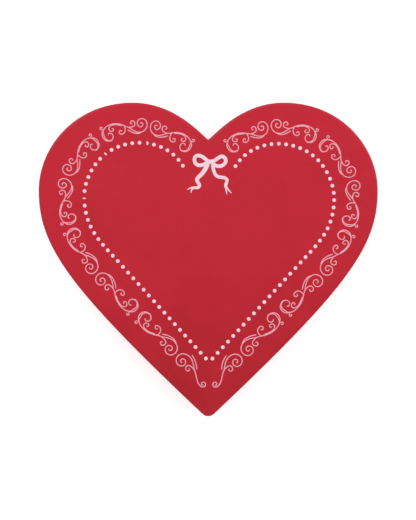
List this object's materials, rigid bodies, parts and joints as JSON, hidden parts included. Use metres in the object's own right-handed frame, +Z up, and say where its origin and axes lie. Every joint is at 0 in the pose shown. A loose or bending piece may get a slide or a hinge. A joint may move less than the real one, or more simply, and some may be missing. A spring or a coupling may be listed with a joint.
{
  "type": "wind-up music box",
  "caption": "Heart-shaped wind-up music box with a hinged lid, lined compartments, an underside key and a pinned-cylinder movement with comb, spring drum and air governor.",
  "frame": {"origin": "centre of the footprint, on the surface that the feet stand on", "axes": "+X across the heart to its right lobe, +Y from the heart's point towards the hinges, +Z up"},
  "size_m": [0.16, 0.148, 0.065],
  "materials": {
    "red_lacquer": "satin",
    "velvet": "matte",
    "mirror_glass": "polished",
    "clear_acrylic": "gloss",
    "brass": "satin",
    "steel": "satin",
    "blued_steel": "satin",
    "cast_zinc": "satin",
    "white_ink": "satin",
    "pink_ink": "satin"
  },
  "bodies": {
    "case": {"base_board": "red_lacquer", "side_wall": "red_lacquer", "wall_lining": "velvet", "divider_front": "velvet", "divider_left": "velvet", "divider_right": "velvet", "floor_pad_front": "velvet", "floor_pad_left": "velvet", "floor_pad_right": "velvet", "movement_cover": "clear_acrylic", "cover_screw_left": "brass", "cover_screw_right": "brass", "foot_left": "red_lacquer", "foot_right": "red_lacquer", "foot_front": "red_lacquer", "hinge_left_lower_leaf": "brass", "hinge_left_pin": "brass", "hinge_right_lower_leaf": "brass", "hinge_right_pin": "brass", "bedplate": "cast_zinc", "comb": "steel", "comb_screw_1": "blued_steel", "comb_screw_2": "blued_steel", "mount_screw_1": "steel", "mount_screw_2": "steel", "bridge": "steel", "bridge_pillar_front": "brass", "bridge_pillar_rear": "brass", "bridge_screw_front": "blued_steel", "bridge_screw_rear": "blued_steel", "click_screw": "blued_steel", "click_spring": "blued_steel", "governor_frame": "cast_zinc", "governor_screw": "blued_steel", "stop_guide": "brass", "stop_spring": "blued_steel"},
    "lid": {"lid_panel": "red_lacquer", "lid_rim": "red_lacquer", "lid_lining": "velvet", "mirror": "mirror_glass", "hinge_left_upper_leaf": "brass", "hinge_right_upper_leaf": "brass"},
    "winder": {"winding_arbor": "steel", "ratchet_wheel": "steel", "key_stem": "brass", "key_wings": "brass"},
    "drum": {"spring_drum": "steel", "drum_cap": "steel", "mainspring": "blued_steel"},
    "cylinder": {"cylinder": "brass", "cylinder_arbor": "steel", "drive_pinion": "brass", "cylinder_gear": "brass"},
    "governor": {"governor_wheel": "brass", "governor_arbor": "steel"},
    "fly": {"worm": "steel", "fly": "brass"},
    "click": {"click": "steel"},
    "stop": {"stop_rod": "steel", "stop_finger": "steel"}
  },
  "joints": [
    {"name": "lid_hinge", "type": "hinge", "parent": "case", "child": "lid", "pos_m": [0, 0.0717, 0.05115], "axis": [-1, 0, 0], "range_deg": [0, 100]},
    {"name": "key_turn", "type": "hinge", "parent": "case", "child": "winder", "pos_m": [-0.013, 0.0165, 0], "axis": [0, 0, 1], "continuous": true},
    {"name": "cylinder_spin", "type": "hinge", "parent": "case", "child": "cylinder", "pos_m": [0, 0.0165, 0.031], "axis": [1, 0, 0], "continuous": true},
    {"name": "drum_spin", "type": "hinge", "parent": "case", "child": "drum", "pos_m": [-0.013, 0.0165, 0], "axis": [0, 0, 1], "continuous": true},
    {"name": "governor_spin", "type": "hinge", "parent": "case", "child": "governor", "pos_m": [0, 0.0265, 0.031], "axis": [1, 0, 0], "continuous": true},
    {"name": "fly_spin", "type": "hinge", "parent": "case", "child": "fly", "pos_m": [0.0242, 0.03275, 0], "axis": [0, 0, 1], "continuous": true},
    {"name": "click_pivot", "type": "hinge", "parent": "case", "child": "click", "pos_m": [-0.01327, 0.02474, 0], "axis": [0, 0, -1], "range_deg": [0, 8], "stiffness_Nm_per_rad": 0.005, "springref_deg": -17.19, "deforming": ["click_spring"]},
    {"name": "stop_lift", "type": "slide", "parent": "case", "child": "stop", "axis": [0, 0, 1], "range_m": [0, 0.003], "deforming": ["stop_spring"]}
  ],
  "couplings": [
    {"joint": "drum_spin", "follows": "cylinder_spin", "ratio": 0.25},
    {"joint": "governor_spin", "follows": "cylinder_spin", "ratio": -4},
    {"joint": "fly_spin", "follows": "cylinder_spin", "ratio": 40},
    {"joint": "stop_lift", "follows": "lid_hinge", "m_per_rad": 0.0017}
  ]
}
